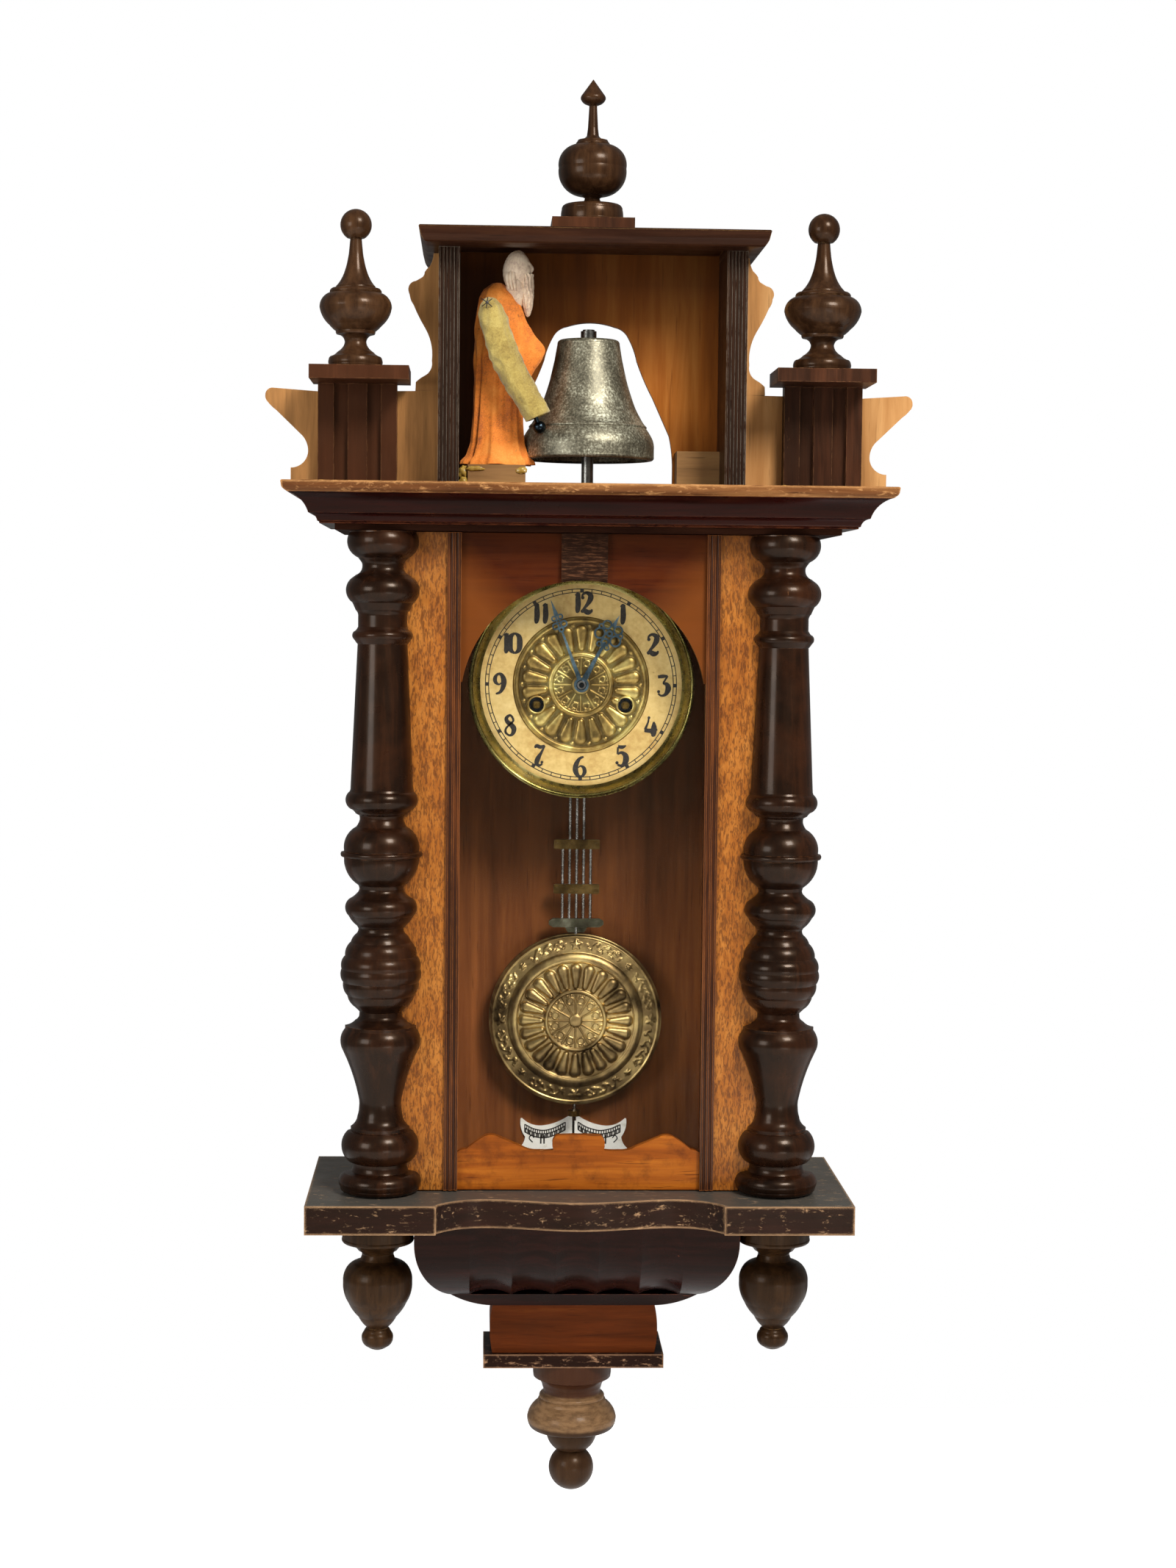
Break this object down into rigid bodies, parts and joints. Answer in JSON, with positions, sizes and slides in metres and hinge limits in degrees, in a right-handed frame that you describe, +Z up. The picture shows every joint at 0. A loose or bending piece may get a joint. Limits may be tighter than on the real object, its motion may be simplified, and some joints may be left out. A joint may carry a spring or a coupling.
{
  "type": "pendulum wall clock",
  "caption": "Hanging wooden clock with a glazed door, gridiron pendulum and a crest stage where a robed figure's arm strikes a bell.",
  "frame": {"origin": "centre of the hanging hole, on the back of the backboard where it meets the wall", "axes": "+X to the right as seen from the front, +Y into the wall, +Z up; the front faces -Y"},
  "size_m": [0.4522, 0.168, 1.0166],
  "materials": {
    "ebonised": "stained dark",
    "veneer": "waxed",
    "burl": "polished figured",
    "olive": "turned and waxed",
    "softwood": "old unpainted",
    "brass": "aged satin",
    "bell_metal": "mottled cast",
    "steel": "satin",
    "blued": "blued",
    "glass": "clear",
    "enamel": "white enamel",
    "paper": "aged cream",
    "plaster": "painted plaster",
    "cloth": "painted cloth",
    "felt": "stuffed felt"
  },
  "bodies": {
    "case": {"backboard": "softwood", "hanger_plate": "steel", "case_sides": "ebonised", "side_glasses": "glass", "cornice_top": "ebonised", "cornice_moulding": "ebonised", "cornice_board": "ebonised", "base_shelf": "ebonised", "bowl_bracket": "ebonised", "lower_block": "softwood", "lower_plate": "ebonised", "bottom_pendant": "olive", "side_pendants": "olive", "stage_back": "veneer", "stage_sides": "ebonised", "stage_cap": "ebonised", "crest_boards": "veneer", "pedestals": "ebonised", "side_finials": "olive", "finial_plinth": "ebonised", "top_finial": "olive", "stage_blocks": "softwood", "bell": "bell_metal", "bell_post": "steel", "figure_robe": "cloth", "figure_head": "plaster", "beat_scale": "enamel", "case_hardware": "brass", "dial": "paper", "bezel": "brass", "dial_centre": "brass", "movement_frame": "brass"},
    "door": {"door_frame": "burl", "door_mouldings": "ebonised", "door_glass": "glass", "door_spandrel": "veneer", "door_apron": "veneer", "columns": "ebonised", "door_hardware": "brass"},
    "hook": {"door_hook": "brass"},
    "centre": {"centre_wheel": "brass"},
    "minute": {"minute_hand": "blued", "cannon_pinion": "brass"},
    "motion": {"minute_wheel": "brass"},
    "hour": {"hour_hand": "blued", "hour_wheel": "brass"},
    "third": {"third_wheel": "brass"},
    "escape": {"escape_wheel": "brass"},
    "going": {"going_barrel": "brass"},
    "strike": {"strike_barrel": "brass"},
    "anchor": {"anchor_crutch": "steel"},
    "pendulum": {"pendulum_rods": "steel", "pendulum_bob": "brass"},
    "rating": {"rating_nut": "brass"},
    "arm": {"arm_sleeve": "felt", "arm_hammer": "steel"},
    "wire": {"pull_wire": "steel"},
    "lever": {"lift_lever": "steel"}
  },
  "joints": [
    {"name": "door_hinge", "type": "hinge", "parent": "case", "child": "door", "pos_m": [0.153, -0.1, 0], "axis": [0, 0, 1], "range_deg": [0, 100]},
    {"name": "hook_pivot", "type": "hinge", "parent": "case", "child": "hook", "pos_m": [-0.15, -0.084, -0.19225], "axis": [-1, 0, 0], "range_deg": [0, 90]},
    {"name": "pendulum_swing", "type": "hinge", "parent": "case", "child": "pendulum", "pos_m": [0, -0.026, -0.032], "axis": [0, 1, 0], "range_deg": [-3, 3]},
    {"name": "anchor_rock", "type": "hinge", "parent": "case", "child": "anchor", "pos_m": [0, -0.06, -0.032], "axis": [0, 1, 0], "range_deg": [-3, 3]},
    {"name": "escape_turn", "type": "hinge", "parent": "case", "child": "escape", "pos_m": [0, -0.06, -0.048], "axis": [0, 1, 0], "range_deg": [-4, 4]},
    {"name": "third_turn", "type": "hinge", "parent": "case", "child": "third", "pos_m": [0.01131, -0.044, -0.05691], "axis": [0, 1, 0], "range_deg": [-1, 1]},
    {"name": "centre_turn", "type": "hinge", "parent": "case", "child": "centre", "pos_m": [0, -0.04, -0.068], "axis": [0, 1, 0], "range_deg": [-1, 1]},
    {"name": "minute_turn", "type": "hinge", "parent": "centre", "child": "minute", "pos_m": [0, -0.08, -0.068], "axis": [0, 1, 0], "continuous": true},
    {"name": "motion_turn", "type": "hinge", "parent": "case", "child": "motion", "pos_m": [-0.0099, -0.07, -0.0779], "axis": [0, 1, 0], "continuous": true},
    {"name": "hour_turn", "type": "hinge", "parent": "case", "child": "hour", "pos_m": [0, -0.078, -0.068], "axis": [0, 1, 0], "continuous": true},
    {"name": "going_winding", "type": "hinge", "parent": "case", "child": "going", "pos_m": [-0.0315, -0.055, -0.0823], "axis": [0, 1, 0], "continuous": true},
    {"name": "strike_winding", "type": "hinge", "parent": "case", "child": "strike", "pos_m": [0.0315, -0.055, -0.0823], "axis": [0, 1, 0], "continuous": true},
    {"name": "rating_turn", "type": "hinge", "parent": "pendulum", "child": "rating", "pos_m": [0, -0.026, -0.3824], "axis": [0, 0, 1], "continuous": true},
    {"name": "arm_swing", "type": "hinge", "parent": "case", "child": "arm", "pos_m": [-0.069, -0.1, 0.192], "axis": [0, 1, 0], "range_deg": [0, 14], "stiffness_Nm_per_rad": 0.02, "springref_deg": -28.65},
    {"name": "wire_pull", "type": "slide", "parent": "case", "child": "wire", "axis": [0, 0, 1], "range_m": [-0.004, 0]},
    {"name": "lever_tip", "type": "hinge", "parent": "case", "child": "lever", "pos_m": [-0.036, -0.064, 0.014], "axis": [0, 1, 0], "range_deg": [-10, 0]}
  ],
  "couplings": [
    {"joint": "anchor_rock", "follows": "pendulum_swing", "ratio": 1},
    {"joint": "escape_turn", "follows": "pendulum_swing", "ratio": 0.78947},
    {"joint": "third_turn", "follows": "pendulum_swing", "ratio": -0.087719},
    {"joint": "centre_turn", "follows": "pendulum_swing", "ratio": 0.0087719},
    {"joint": "motion_turn", "follows": "minute_turn", "ratio": -0.33333},
    {"joint": "hour_turn", "follows": "minute_turn", "ratio": 0.083333},
    {"joint": "wire_pull", "follows": "arm_swing", "m_per_rad": -0.012},
    {"joint": "lever_tip", "follows": "arm_swing", "ratio": -0.57143}
  ]
}
